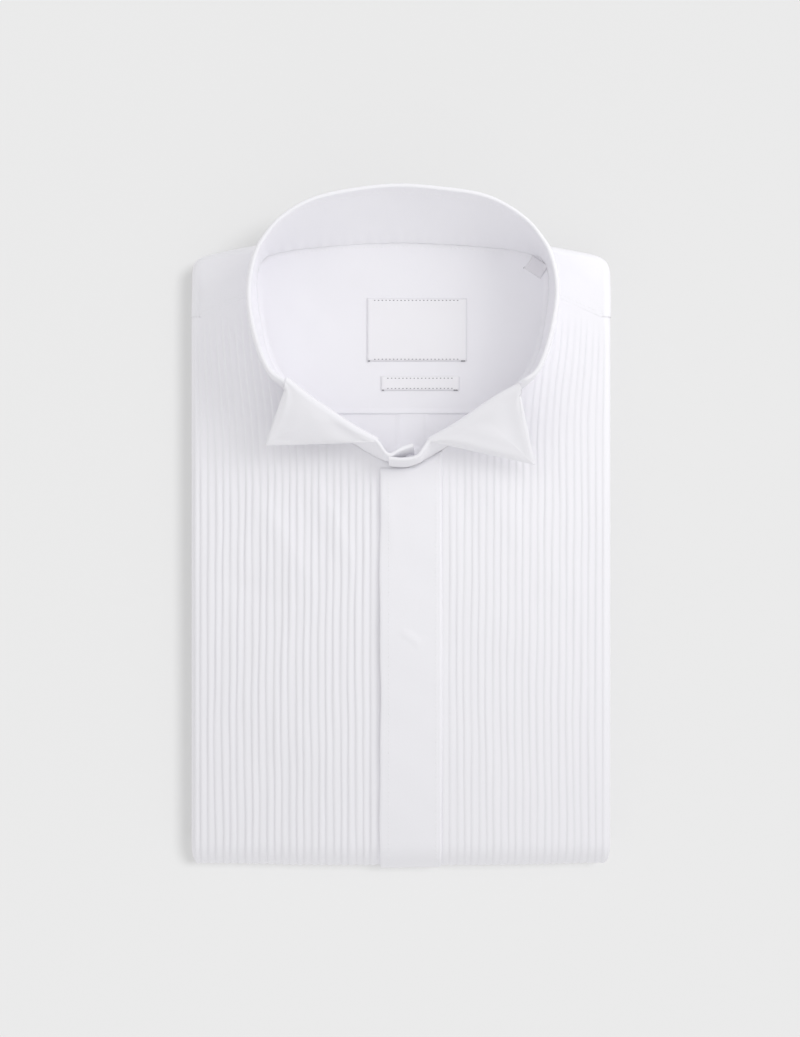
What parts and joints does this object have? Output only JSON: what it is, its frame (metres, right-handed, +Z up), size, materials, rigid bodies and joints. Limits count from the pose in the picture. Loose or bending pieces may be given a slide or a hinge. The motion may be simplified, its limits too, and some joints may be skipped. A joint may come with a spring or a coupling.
{
  "type": "folded dress shirt",
  "caption": "Folded long sleeve formal dress shirt lying face up, with a standing wing collar, a finely tucked front, a plain placket and bare labels inside the neck.",
  "frame": {"origin": "on the surface that the folded shirt lies on, under the middle of its whole extent", "axes": "+Z up from the surface, +Y along the front towards the collar, +X towards the wearer's left side"},
  "size_m": [0.223, 0.3592, 0.066],
  "materials": {
    "cloth": "fine white cotton twill, matt with a slight sheen",
    "label": "smooth woven satin tape, white",
    "tab": "woven tape, pale grey"
  },
  "bodies": {
    "root": {"folded_layers": "cloth", "front_right": "cloth", "front_left": "cloth", "placket": "cloth", "yoke": "cloth", "yoke_inside": "cloth", "back_inside": "cloth", "collar": "cloth", "neck_label": "label", "cloth_label": "label", "size_tab": "tab"}
  },
  "joints": []
}
